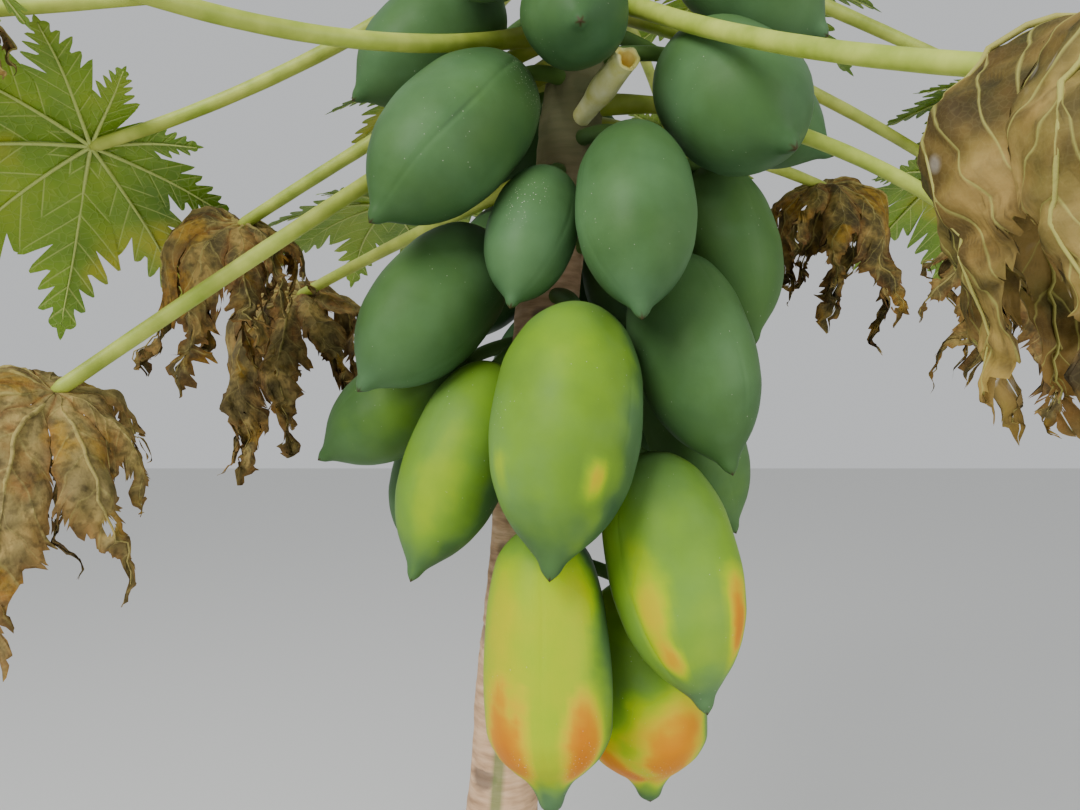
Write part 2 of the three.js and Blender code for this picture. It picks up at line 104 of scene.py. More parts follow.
# The ring next to the tip of each profile's solid, as above, and the fewest neighbours of a tip
SOLID_TIP_RINGS = {"plump": (0.92, 0.23), "blunt": (0.93, 0.27)}
TIP_NEIGHBOURS = 7
BLUNT_FRUITS = {"fruit_bottom_front", "fruit_bottom_right"}
TURNING_FRUITS = {"fruit_bottom_front", "fruit_bottom_right", "fruit_low_right"}
FRUIT_COLUMNS = 52
# Rows of a plain fruit and of one with patches of other colours
PLAIN_ROWS = 50
PATCHED_ROWS = 84
# How evenly the rows are spread, from close at the ends to even, and the shares of the end rows
ROW_EVENNESS = 0.35
END_ROWS = (0.0008, 0.9992)
# Shares of the length, from the stalk and from the tip, over which ribs and creases come in
BELLY = (0.25, 0.2)
FRUIT_RIBS = Values(count=5, height=0.014, middle=0.6)
LOPSIDED = 0.02
# The dark star at the tip and the dark rim at the stalk
TIP_SCAR = Values(reach=2.6, points=5, point_reach=2.2, edge=2, darkness=0.95)
STALK_SCAR = Values(at=(9, 8), darkness=0.4)
STALK = Values(
    fruit_radius=7, trunk_radius=10, collar=2.5, collar_at=(0.8, 0.2), rise=22, sink=12,
    bend_share=0.72, full_size_girth=100, rows=24, columns=14, ripe=0.18, scar=0.12,
)

# How ripe the skin of a fruit is, from 0, dark green, to 1, deep orange
RIPENESS = {
    "fruit_bottom_front": 0.46, "fruit_bottom_right": 0.38, "fruit_low_right": 0.32,
    "fruit_middle_front": 0.26, "fruit_low_left": 0.28, "fruit_far_left": 0.12,
    "fruit_middle_left": 0.07, "fruit_middle_right": 0.06, "fruit_back_right": 0.09,
    "fruit_small_right": 0.1,
}
GREEN_RIPENESS = 0.04
# Painted light: how much riper, and so lighter and yellower, the side that faces the camera is made, and
# how far round that goes
PAINTED_FRONT_LIGHT = 0.05
FRONT_BEYOND = 0.2
# Patches that are riper or greener, and one that is painted shadow: share along the fruit, turn round
# it in degrees from the side that faces the camera, half length as a share, half width in degrees,
# and the change in ripeness
PATCHES = {
    "fruit_bottom_front": [
        (0.72, -47, 0.19, 25, 0.42), (0.74, 34, 0.15, 21, 0.46), (0.35, -48, 0.3, 26, 0.08),
        (0.42, 80, 0.6, 34, -0.34), (1, 0, 0.12, 180, -0.42), (0, 0, 0.12, 180, -0.2),
    ],
    "fruit_bottom_right": [
        # The greener patch at 0.4 along, turned -10, is painted shadow cast by the fruits above it
        (0.7, 28, 0.26, 44, 0.48), (0.8, -42, 0.14, 34, 0.48), (0.4, -10, 0.24, 60, -0.2),
        (0.75, 84, 0.4, 14, -0.25), (1, 0, 0.1, 180, -0.35),
    ],
    "fruit_low_right": [
        (0.58, -27, 0.22, 18, 0.29), (0.78, -24, 0.09, 14, 0.24), (0.67, 56, 0.18, 16, 0.52),
        (0.97, 0, 0.14, 180, -0.2), (0.08, 30, 0.25, 90, -0.1),
    ],
    "fruit_middle_front": [
        (0.67, 31, 0.075, 12, 0.4), (0.66, -58, 0.08, 9, 0.14), (0.2, -8, 0.26, 36, 0.08),
        (0.5, 80, 0.6, 32, -0.2), (0.95, 0, 0.16, 180, -0.14),
    ],
    "fruit_low_left": [
        (0.62, -14, 0.3, 28, 0.12), (0.5, 68, 0.6, 34, -0.2), (0.95, 0, 0.16, 180, -0.12),
    ],
    "fruit_far_left": [(0.5, 0, 0.3, 30, 0.04), (0.95, 0, 0.2, 180, -0.05)],
}
# Places where dried sap has left specks: share along, turn, half length and half width, as above
SPECKLED = {
    "fruit_small_front": [(0.42, -24, 0.16, 22)],
    "fruit_upper_left": [(0.12, 20, 0.1, 40)],
    "fruit_bottom_front": [(0.8, 32, 0.07, 16), (0.79, -30, 0.05, 9)],
    "fruit_bottom_right": [(0.84, 12, 0.06, 40)],
}
# How much the edges of the patches wander, at two sizes in millimetres, and how soft they are
PATCH_EDGES = [(42, 0.2), (13, 0.05)]
PATCH_REACH = 1.45
PATCH_SOFTNESS = 1.2
# The crease along a fruit: how deep and wide it is, how it wanders and fades, where the grid gets
# columns of its own beside it, in millimetres, and how far round from the front it may lie
GROOVE = Values(
    depth=0.4, half_width=2.6, wander=1.6, wander_pitch=9, fade_pitch=14, fading=(0.65, 0.35),
    columns=(-9, -5, -2.8, -1.2, 0, 1.2, 2.8, 5, 9), sector=60,
)
# Creases that are seen in full: turn in degrees from the side that faces the camera, and depth
CREASES = {"fruit_upper_left": (-12, 1.8), "fruit_bottom_front": (-4, 0.7), "fruit_low_right": (-46, 0.9)}

# Petioles and blades
PETIOLE = Values(
    base_radius=14, mid_radius=10, hub_radius=7.5, swollen_share=0.25, ripple=0.01, ripple_pitch=60,
    neck=0.35, neck_at=(0.985, 0.015), rows=64, columns=20,
)
# The brownish blush of a petiole, stronger at its foot, in blotches
BLUSH = Values(most=0.25, foot=0.3, foot_share=0.3, size=60, mean=0.6, swing=0.4)
CUT_PETIOLE = Values(
    foot=1470, turn=-67, run=142, rise=37, radius=14, wall=4, rows=40, bore_rows=14, bore_inset=0.5,
    columns=28, waist=0.06, waist_pitch=9, collar=(0.84, 1.03), collar_at=(0.4, 0.2), bore_narrows=0.6,
    bore_colour=0.4, torn_depth=6, torn_back=5,
)
# Height, number round and turn of the waves of the torn rim
TORN_WAVES = [(3.5, 2, 1), (1.6, 5, 0)]
# Direction of each lobe from the petiole's line, in degrees, and its share of the full reach
LOBES = [(0, 1), (40, 0.96), (79, 0.86), (116, 0.68), (150, 0.46)]
# How a blade hangs and how far it has withered: slopes of the midribs at the hub, for a lobe that
# points straight on, and at their tips, share of the reach over which they bend, how far out the
# lobes part, width of the peaks and of the notches of their outline, how far their sides stand up,
# radius of their curl, depth of their pleats, and how crumpled, torn and unevenly hung they are
HABITS = {
    "green": Values(
        slopes=(-6, 38), bend_share=1, sinus=0.3, peak=1.3, notch=1.15, fold=0.1, curl=0, pleat=0,
        crumple=0, torn=0, uneven=0.3, stations=49, columns=6,
    ),
    "dried": Values(
        slopes=(-55, 86), bend_share=0.42, sinus=0.36, peak=1.2, notch=1.9, fold=-0.15, curl=62,
        pleat=3.2, crumple=1, torn=0.6, uneven=1, stations=55, columns=12,
    ),
    "near": Values(
        slopes=(-60, 102), bend_share=0.58, sinus=0.6, peak=1.5, notch=2.9, fold=-0.1, curl=95, pleat=3,
        crumple=1.2, torn=0.2, uneven=0.8, stations=90, columns=20,
    ),
    "shut": Values(
        slopes=(-10, 88), bend_share=0.3, sinus=0.3, peak=0.9, notch=1.5, fold=-0.35, curl=24, pleat=3,
        crumple=1, torn=0.6, uneven=0.6, stations=55, columns=10,
    ),
}
# Seen leaves: name, habit, height of the petiole's foot, its turn, its run and rise to the hub, its
# arch, reach of the blade, its pitch and roll, and its turn from the petiole
SEEN_LEAVES = [
    ("leaf_left_green", "green", 1780, 178.5, 612, -321, -75, 275, 32, 34),
    ("leaf_left_near", "green", 1596, 215, 640, -74, -112, 260, -16, 0),
    ("leaf_left_corner", "shut", 1704, 197, 640, -180, -20, 200, 0, 0),
    ("leaf_left_dried", "dried", 1605, 171, 436, -230, 12, 290, 0, -28),
    ("leaf_left_low", "dried", 1568, 199, 546, -407, 12, 340, 0, -30),
    ("leaf_left_small", "dried", 1433, 143.2, 501, -115, 10, 370, 0, -30),
    ("leaf_right_near", "near", 1640, -62, 611, -316, -48, 335, 0, 0, -128),
    ("leaf_right_high", "green", 1735, 15, 600, -158, 4, 280, 15, 10),
    ("leaf_right_green", "green", 1625, 27, 640, -118, 40, 270, 15, -20),
    ("leaf_right_low", "dried", 1500, -8, 470, -170, 100, 255, 0, 35),
    ("leaf_right_dried", "dried", 1480, 31.3, 443, -14, 30, 300, 0, 20),
]
# Leaves on the far side and in the crown: a pair is for the lowest and the highest leaf
FAR_LEAVES = Values(
    count=5, base_height=1484, climb=55, first_share=0.34, sector_start=60, sector=65, run=(560, 630),
    rise=(-60, 40), arch=90, reach=(270, 270), pitch=(12, 12),
)
UPPER_LEAVES = Values(
    count=9, base_height=1775, climb=19, first_turn=285, run=(660, 250), rise=(70, 470), arch=120,
    reach=(320, 215), pitch=(16, -10),
)
# How pale and papery a dried blade is, from 0 to 1
PAPERY = {"leaf_left_low": 0.5, "leaf_left_small": 0.35, "leaf_right_low": 0.25, "leaf_right_dried": 0.1}
PLAIN_PAPERY = 0.2
# Outline of half a lobe, as shares of its length: station on the midrib, and reach from there
# along the side veins, which leave the midrib at one angle. Each peak is the tip of a side lobe.
SIDE_VEIN_ANGLE = math.radians(42)
SIDE_PEAKS = [(0.36, 0.27), (0.5, 0.19), (0.63, 0.15), (0.74, 0.115), (0.84, 0.07)]
SIDE_NOTCHES = [(0.44, 0.115), (0.575, 0.085), (0.69, 0.062), (0.8, 0.042), (0.92, 0.024)]
INNER_VEINS = [0.1, 0.24]
OUTLINE_BULGE = 0.2
# How much the reaches of peaks and notches vary, and how ragged the margin is between them
REACH_SPREAD = (0.86, 1.1)
RAGGED = Values(fresh=0.015, dried=0.05, pitch=150, torn=0.4)
# Highest random phase of a ripple, and angle beside the last lobe, in degrees
LATEST_PHASE = 6
LAST_GAP = 30
# Veins: half width as a share of a lobe's length, how far other stations keep clear of them, how far
# they stand up, and how plain side veins and the margin are beside the midrib
VEIN = Values(half_width=0.007, clear=1.7, raised=0.7, side=0.85, margin=0.3)
RIB = Values(hub_radius=2.6, tip_radius=0.6, end_share=0.93, below=1, stations=30, sides=8)
# Columns of the grid of half a lobe close to its midrib, before the even ones start
FIRST_COLUMNS = [0, 0.03]
EVEN_FROM = 0.12
# Share of the length over which a lobe's hang and crumples come in, past where the lobes part
OUTER_OVER = 0.7
# How the tips of unevenly hung lobes droop, sway and twist: strength, least and most
UNEVEN = {"droop": (0.2, -0.4, 0.6), "sway": (0.16, -1, 1), "twist": (0.7, -1, 1)}
# Ripples across a lobe, higher on dried ones, how its curl varies and the share of it at the hub, and
# the gentle swell of a whole blade
RIPPLE = Values(pitch=17, fresh=13, dried=18)
CURL = Values(spread=(0.75, 1.6), inner=0.4)
SWELL = Values(size=90, height=2.5)
# Size and height of each order of crumples in a dried blade, and the share of them at its hub
CRUMPLES = [(95, 10), (40, 8), (17, 3.2)]
HUB_CRUMPLE = 0.3
PLEAT_SPACING = 7
# Holes of a dried blade: their size, how rare they are, and how far out the blade is whole
HOLES = Values(size=26, rarity=1.5, whole=0.05, seed=8)
# How far off, in steps of a blade's grid, and how deep a fold must be for full painted shade in it
FOLD_SHADE_STEPS = (1, 3)
FOLD_SHADE_DEPTH = 4.5


def mix(a, b, share):
    return a + (b - a) * share


def smooth(share):
    s = np.clip(share, 0, 1)
    return s * s * (3 - 2 * s)


# 0 below a start, 1 above it, and eased over a stretch between them
def coming_in(value, start, over):
    return smooth((value - start) / over)


# 0 above an end, 1 below it, and eased over a stretch between them
def dying_out(value, end, over):
    return smooth((end - value) / over)


# A rounded hill, 1 high and about 1 to each side
def hill(distance):
    return np.exp(-(distance**2))


def heading(turn):
    return np.array([math.cos(math.radians(turn)), math.sin(math.radians(turn)), 0.0])


def unit(vector):
    return vector / np.linalg.norm(vector)


# A smooth random field in about -1 to 1, for points in millimetres
def wobble(points, size, seed):
    rng = np.random.default_rng(seed)
    field = np.zeros(len(points))
    for _ in range(WAVES):
        way = unit(rng.normal(size=3))
        pitch = size * rng.uniform(*WAVE_SPREAD)
        field += np.sin(points @ way * (2 * math.pi / pitch) + rng.uniform(0, 2 * math.pi))
    return field / math.sqrt(WAVES)


# The angle from one turn round an axis to another, the shorter way
def turned_by(angle, start):
    return np.angle(np.exp(1j * (angle - start)))


# Meshes


def grid_faces(rows, columns, closed):
    across = columns if closed else columns - 1
    row, column = np.meshgrid(np.arange(rows - 1), np.arange(across), indexing="ij")
    here = row * columns + column
    beside = row * columns + (column + 1) % columns
    return np.stack([here, beside, beside + columns, here + columns], axis=-1).reshape(-1, 4)


# The faces of a closed tube, with a cap at each end
def capped_faces(rows, columns):
    last = (rows - 1) * columns
    caps = [list(range(columns))[::-1], list(range(last, last + columns))]
    return grid_faces(rows, columns, True).tolist() + caps


def new_object(name, data):
    made = bpy.data.objects.new(name, data)
    bpy.context.scene.collection.objects.link(made)
    return made


def even_angles(columns):
    return np.linspace(0, 2 * math.pi, columns, endpoint=False)


# Directions at angles from one direction towards another
def ways_round(angles, first, second):
    return np.cos(angles)[..., None] * first + np.sin(angles)[..., None] * second


# One mesh object from points in millimetres, with named values on its points
def piece(name, points, faces, material, nodes, fields):
    mesh = bpy.data.meshes.new(name)
    mesh.from_pydata((points * METRES).tolist(), [], faces)
    mesh.validate()
    for title, values in fields.items():
        layer = mesh.attributes.new(title, "FLOAT", "POINT")
        layer.data.foreach_set("value", values.astype(np.float32))
    mesh.shade_smooth()
    mesh.materials.append(material)
    made = new_object(name, mesh)
    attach(made, "root")
    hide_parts(*nodes)


# Frames along a path: sideways directions that don't twist
def path_frames(points):
    along = np.gradient(points, axis=0)
    along /= np.linalg.norm(along, axis=1)[:, None]
    across = UP if abs(along[0][2]) < NEARLY_UPRIGHT else EAST
    side = unit(np.cross(along[0], across))
    sides = []
    for way in along:
        side = unit(side - way * np.dot(side, way))
        sides.append(side)
    sides = np.array(sides)
    return sides, np.cross(along, sides)


# Points and faces of a round tube with flat ends
def tube(points, radii, columns):
    sides, ups = path_frames(points)
    ring = ways_round(even_angles(columns), sides[:, None], ups[:, None])
    skin = points[:, None] + ring * radii[:, None, None]
    return skin.reshape(-1, 3), capped_faces(len(points), columns)


def bezier(start, bend, end, shares):
    s = shares[:, None]
    return (1 - s) ** 2 * start + 2 * s * (1 - s) * bend + s**2 * end


# Several sets of points and faces as one
class Joined:
    def __init__(self):
        self.points = []
        self.faces = []
        self.fields = {}
        self.count = 0

    def add(self, points, faces, **fields):
        self.points.append(points)
        self.faces += [[corner + self.count for corner in face] for face in faces]
        for title, values in fields.items():
            self.fields.setdefault(title, []).append(np.broadcast_to(values, len(points)))
        self.count += len(points)

    def piece(self, name, material, nodes, slot):
        fields = {title: np.concatenate(values) for title, values in self.fields.items()}
        piece(name, np.concatenate(self.points), self.faces, material, nodes, fields)


# Materials

# Share of a spot that is full, and edge of patches and reach of the finest veins in a noise's values
SPOT_CORE = 0.4
NOISE_EDGE = 0.06
FINE_VEIN_REACH = 0.09


def new_material(name, constants):
    material = bpy.data.materials.new(name)
    material.use_nodes = True
    for title, value in constants.items():
        material.node_tree.nodes["Principled BSDF"].inputs[title].default_value = value
    return material


# A material in the making: its nodes, the places they read, and a colour that layers build up
class Look:
    def __init__(self, name, roughness, specular=0.5):
        constants = {"Roughness": roughness, "Specular IOR Level": specular}
        self.material = new_material(name, constants)
        self.tree = self.material.node_tree
        self.place = self.node("TexCoord", {}).outputs["Object"]
        self.colour = None

    # A node with its inputs linked or set, by name or by number
    def node(self, kind, inputs, **settings):
        made = self.tree.nodes.new("ShaderNode" + kind)
        for title, value in settings.items():
            setattr(made, title, value)
        for key, value in inputs.items():
            if isinstance(value, bpy.types.NodeSocket):
                self.tree.links.new(value, made.inputs[key])
            else:
                made.inputs[key].default_value = value
        return made

    def connect(self, title, value):
        self.tree.links.new(value, self.tree.nodes["Principled BSDF"].inputs[title])

    def finished(self):
        self.connect("Base Color", self.colour)
        return self.material

    def ramp(self, value, stops):
        made = self.node("ValToRGB", {"Fac": value})
        elements = made.color_ramp.elements
        while len(elements) < len(stops):
            elements.new(0.5)
        for element, (place, colour) in zip(elements, stops):
            element.position = place
            element.color = (*colour, 1)
        return made.outputs["Color"]

    # From 0 to a highest value as another value goes from start to end
    def rising(self, value, start, end, highest):
        inputs = {"Value": value, "From Min": start, "From Max": end, "To Max": highest}
        return self.node("MapRange", inputs).outputs["Result"]

    def noise(self, scale, detail):
        inputs = {"Vector": self.place, "Scale": scale, "Detail": detail}
        return self.node("TexNoise", inputs).outputs["Fac"]

    def mottled(self, scale, detail, stops):
        return self.ramp(self.noise(scale, detail), stops)

    def field(self, title):
        return self.node("Attribute", {}, attribute_name=title).outputs["Fac"]

    def maths(self, operation, *values):
        return self.node("Math", dict(enumerate(values)), operation=operation).outputs[0]

    def product(self, first, second):
        return self.maths("MULTIPLY", first, second)

    # Covers a share of the colour so far with another one
    def layer(self, share, colour):
        over = colour if isinstance(colour, bpy.types.NodeSocket) else (*colour, 1)
        inputs = {0: share, 6: self.colour, 7: over}
        self.colour = self.node("Mix", inputs, data_type="RGBA").outputs[2]

    def bump(self, height, strength, distance):
        inputs = {"Height": height, "Strength": strength, "Distance": distance}
        self.connect("Normal", self.node("Bump", inputs).outputs["Normal"])

    # Small flat spots where cells of a noise have their middles
    def spots(self, scale, size, highest):
        cells = self.node("TexVoronoi", {"Vector": self.place, "Scale": scale})
        return self.rising(cells.outputs["Distance"], size, size * SPOT_CORE, highest)

    # Patches here and there, from 0 outside to 1 inside
    def patches(self, scale, start):
        return self.rising(self.noise(scale, 2), start, start + NOISE_EDGE, 1)

    # The net of the finest veins, from 0 between them to a highest value on them
    def fine_veins(self, scale, highest):
        inputs = {"Vector": self.place, "Scale": scale}
        net = self.node("TexVoronoi", inputs, feature="DISTANCE_TO_EDGE")
        return self.rising(net.outputs["Distance"], FINE_VEIN_REACH, 0, highest)


def fruit_material():
    look = Look("fruit_skin", 0.48, 0.12)
    mottle = look.maths("MULTIPLY_ADD", look.noise(14, 9), 0.22, -0.11)
    look.colour = look.ramp(
        look.maths("ADD", look.field("ripe"), mottle),
        [
            (0.0, (0.04, 0.095, 0.037)),
            (0.16, (0.07, 0.15, 0.038)),
            (0.36, (0.18, 0.335, 0.017)),
            (0.5, (0.34, 0.48, 0.0)),
            (0.6, (0.5, 0.49, 0.0)),
            (0.71, (0.63, 0.43, 0.0)),
            (0.84, (0.64, 0.26, 0.0)),
            (1.0, (0.58, 0.17, 0.0)),
        ],
    )
    bloom = look.rising(look.noise(9, 10), 0.42, 0.7, 0.32)
    unripe = look.rising(look.field("ripe"), 0.5, 0.3, 1)
    look.layer(look.product(bloom, unripe), (0.17, 0.33, 0.16))
    scattered = look.product(look.spots(160, 0.1, 0.5), look.patches(22, 0.56))
    dense = look.product(look.spots(330, 0.2, 0.8), look.field("speckled"))
    look.layer(look.maths("MAXIMUM", scattered, dense), (0.75, 0.75, 0.6))
    look.layer(look.field("scar"), (0.05, 0.03, 0.012))
    look.bump(look.noise(260, 3), 0.12, 0.001)
    return look.finished()


# Bark with its texture drawn out round the trunk
def bark_material():
    look = Look("bark", 0.85)
    stretched = look.node("Mapping", {"Vector": look.place, "Scale": (1, 1, 6)})
    look.place = stretched.outputs["Vector"]
    stops = [(0.25, (0.32, 0.19, 0.1)), (0.5, (0.58, 0.365, 0.21)), (0.72, (0.75, 0.51, 0.32))]
    look.colour = look.mottled(22, 8, stops)
    look.layer(look.field("scar"), (0.14, 0.095, 0.065))
    look.layer(look.field("green"), (0.16, 0.21, 0.06))
    look.layer(look.field("aged"), (0.15, 0.17, 0.075))
    look.bump(look.noise(70, 8), 0.5, 0.002)
    return look.finished()


def petiole_material():
    look = Look("petiole", 0.5, 0.35)
    look.colour = look.mottled(30, 6, [(0.3, (0.27, 0.37, 0.03)), (0.7, (0.52, 0.6, 0.1))])
    look.layer(look.field("blush"), (0.3, 0.19, 0.07))
    return look.finished()


def cut_material():
    look = Look("cut_petiole", 0.7)
    look.colour = look.mottled(60, 6, [(0.3, (0.82, 0.8, 0.24)), (0.7, (0.98, 0.97, 0.55))])
    look.layer(look.field("inside"), (0.98, 0.66, 0.03))
    look.bump(look.noise(180, 4), 0.4, 0.002)
    return look.finished()


# Light and dark green, yellow with age here and there, with paler veins
def green_leaf_material():
    look = Look("green_leaf", 0.5)
    stops = [(0.3, (0.075, 0.17, 0.006)), (0.55, (0.17, 0.29, 0.008)), (0.75, (0.3, 0.38, 0.01))]
    look.colour = look.mottled(9, 6, stops)
    look.layer(look.rising(look.noise(5, 3), 0.6, 0.72, 0.85), (0.5, 0.42, 0.015))
    look.layer(look.fine_veins(90, 0.3), (0.32, 0.42, 0.06))
    look.layer(look.field("vein"), (0.44, 0.52, 0.13))
    look.bump(look.fine_veins(90, 1), 0.35, 0.002)
    return look.finished()


# Brown blotches, paler where a blade is papery, ochre stains, rusty rims, veins, and painted shade in the
# folds
def dried_leaf_material():
    look = Look("dried_leaf", 0.8, 0.25)
    stops = [(0.4, (0.025, 0.02, 0.005)), (0.5, (0.12, 0.09, 0.02)), (0.6, (0.32, 0.21, 0.05))]
    look.colour = look.mottled(30, 9, stops)
    look.layer(look.field("papery"), (0.4, 0.3, 0.11))
    look.layer(look.rising(look.noise(16, 6), 0.55, 0.63, 0.7), (0.36, 0.2, 0.012))
    rim = look.rising(look.field("rim"), 0.45, 0.95, 0.55)
    rust = look.rising(look.noise(22, 5), 0.55, 0.66, 0.6)
    look.layer(look.maths("MAXIMUM", rim, rust), (0.2, 0.07, 0.012))
    look.layer(look.fine_veins(110, 0.2), (0.36, 0.27, 0.09))
    look.layer(look.product(look.field("vein"), 0.6), (0.38, 0.32, 0.1))
    # Painted shade: darker where the blade lies deep in a fold
    look.layer(look.product(look.field("hollow"), 0.5), (0.018, 0.013, 0.005))
    look.layer(look.rising(look.noise(130, 8), 0.5, 0.64, 0.5), (0.04, 0.028, 0.01))
    look.bump(look.noise(90, 8), 0.7, 0.004)
    return look.finished()


# A blade that has only just dried: olive and tan near the hub, brown and rusty farther out, with
# painted shade in its folds, veins and white mould
def near_leaf_material():
    look = Look("near_leaf", 0.75, 0.25)
    olive = [(0.38, (0.05, 0.045, 0.01)), (0.5, (0.22, 0.165, 0.04)), (0.62, (0.38, 0.27, 0.08))]
    brown = [(0.38, (0.05, 0.025, 0.008)), (0.5, (0.25, 0.13, 0.03)), (0.62, (0.44, 0.27, 0.05))]
    look.colour = look.mottled(15, 6, olive)
    look.layer(look.field("age"), look.mottled(20, 6, brown))
    outer = look.maths("MULTIPLY_ADD", look.field("age"), 0.7, 0.3)
    rust = look.rising(look.noise(13, 7), 0.52, 0.6, 0.75)
    look.layer(look.product(rust, outer), (0.24, 0.1, 0.018))
    # Painted shade: darker where the blade lies deep in a fold
    look.layer(look.product(look.field("hollow"), 0.55), (0.03, 0.02, 0.009))
    look.layer(look.fine_veins(240, 0.06), (0.42, 0.36, 0.15))
    look.layer(look.product(look.field("vein"), 0.9), (0.4, 0.38, 0.1))
    mould = look.product(look.spots(42, 0.26, 0.8), look.patches(12, 0.54))
    look.layer(look.product(mould, outer), (0.72, 0.68, 0.62))
    look.bump(look.noise(60, 8), 0.6, 0.004)
    return look.finished()


# Trunk


def trunk_centre(height):
    height = np.asarray(height, dtype=float)
    bow = TRUNK.bow * np.sin(height / TRUNK.bow_length * math.pi)
    return np.stack([TRUNK.lean * height + bow, np.zeros_like(height), height], axis=-1)


def trunk_radius(height):
    above = 1 - height / TRUNK.height
    swelling = TRUNK.foot_swelling * above**2
    flare = TRUNK.flare_swelling * np.exp(-height / TRUNK.flare_height)
    to_tip = dying_out(height, TRUNK.height, TRUNK.tip_length)
    return (TRUNK.shaft_radius + swelling + flare) * mix(TRUNK.tip_share, 1, to_tip)


# The trunk with a spiral of leaf scars, low rings and upright wrinkles in its bark
def make_trunk(material):
    heights = np.linspace(0, TRUNK.height, TRUNK_ROWS)
    height, angle = np.meshgrid(heights, even_angles(TRUNK_COLUMNS), indexing="ij")
    radius = trunk_radius(height)
    around = np.stack([np.cos(angle), np.sin(angle), np.zeros_like(angle)], axis=-1)
    flat = (trunk_centre(height) + around * radius[..., None]).reshape(-1, 3)
    relief = np.zeros_like(height)
    for bump_height, size, upright, seed in BARK_BUMPS:
        relief += bump_height * wobble(flat * [1, 1, upright], size, seed).reshape(height.shape)
    scar = np.zeros_like(height)
    count = int((TRUNK.height - SCAR.first) / SCAR.spacing)
    rng = np.random.default_rng(SEEDS.trunk)
    for index in range(count):
        level = SCAR.first + index * SCAR.spacing + rng.uniform(-SCAR.stray, SCAR.stray)
        turn = math.radians(index * GOLDEN_ANGLE)
        size = mix(*SCAR.sizes, level / TRUNK.height)
        across = turned_by(angle, turn) * radius / (SCAR.half_width * size)
        along = (height - level) / (SCAR.half_height * size) - SCAR.droop * across**2
        far = np.sqrt(across**2 + along**2)
        relief -= SCAR.depth * dying_out(far, *SCAR.edge)
        relief += SCAR.rim_height * hill((far - SCAR.rim_at) / SCAR.rim_width)
        relief += SCAR.ring_height * hill((height - level) / SCAR.ring_width)
        scar = np.maximum(scar, dying_out(far, *SCAR.dark_edge) * rng.uniform(*SCAR.darkness))
    relief *= smooth(height / BARE_END) * dying_out(height, TRUNK.height, BARE_END)
    skin = trunk_centre(height) + around * (radius + relief)[..., None]
    off_streak = np.abs(turned_by(angle, math.radians(STREAK.turn))) * radius
    along_streak = dying_out(height, *STREAK.top) * coming_in(height, *STREAK.bottom)
    green = STREAK.share * along_streak * dying_out(off_streak, *STREAK.width)
    aged = AGED.share * coming_in(height, *AGED.heights)
    faces = capped_faces(TRUNK_ROWS, TRUNK_COLUMNS)
    fields = {"scar": scar.ravel(), "green": green.ravel(), "aged": aged.ravel()}
    piece("trunk_bark", skin.reshape(-1, 3), faces, material, ["trunk"], fields)


# Fruit


# A smooth curve through a profile's stations that never overshoots them
def profile_radius(stations, shares):
    x, y = np.array(stations).T
    rise = np.diff(y) / np.diff(x)
    slope = np.zeros_like(x)
    for i in range(1, len(x) - 1):
        if rise[i - 1] * rise[i] > 0:
            slope[i] = 2 * rise[i - 1] * rise[i] / (rise[i - 1] + rise[i])
    slope[0] = ROUND_START * rise[0]
    slope[-1] = rise[-1]
    spot = np.clip(np.searchsorted(x, shares, side="right") - 1, 0, len(x) - 2)
    width = x[spot + 1] - x[spot]
    t = (shares - x[spot]) / width
    start = (2 * t**3 - 3 * t**2 + 1) * y[spot] + (t**3 - 2 * t**2 + t) * width * slope[spot]
    end = (3 * t**2 - 2 * t**3) * y[spot + 1] + (t**3 - t**2) * width * slope[spot + 1]
    return np.maximum(start + end, 0)


# Where a fruit hangs, from its solid: the tip is the point that a ring of evenly far neighbours
# surrounds, and the profile's last ring gives the way, the length and the girth
def fruit_place(name, profile):
    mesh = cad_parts[name].data
    places = np.array([tuple(vertex.co) for vertex in mesh.vertices]) / METRES
    keys, merged = np.unique(np.round(places, 3), axis=0, return_inverse=True)
    merged = merged.ravel()
    beside = {}
    for face in mesh.polygons:
        corners = [int(merged[corner]) for corner in face.vertices]
        for corner in corners:
            beside.setdefault(corner, set()).update(other for other in corners if other != corner)
    best = None
    for corner, others in beside.items():
        if len(others) < TIP_NEIGHBOURS:
            continue
        ring = keys[sorted(others)]
        far = np.linalg.norm(ring - keys[corner], axis=1)
        spread = far.max() - far.min()
        if best is None or spread < best[0]:
            best = (spread, keys[corner], ring)
    tip, ring = best[1], best[2]
    share, radius = SOLID_TIP_RINGS[profile]
    middle = ring.mean(axis=0)
    length = np.linalg.norm(middle - tip) / (1 - share)
    girth = 2 * np.linalg.norm(ring - middle, axis=1).mean() / radius
    return tip + unit(middle - tip) * length, tip, length, girth


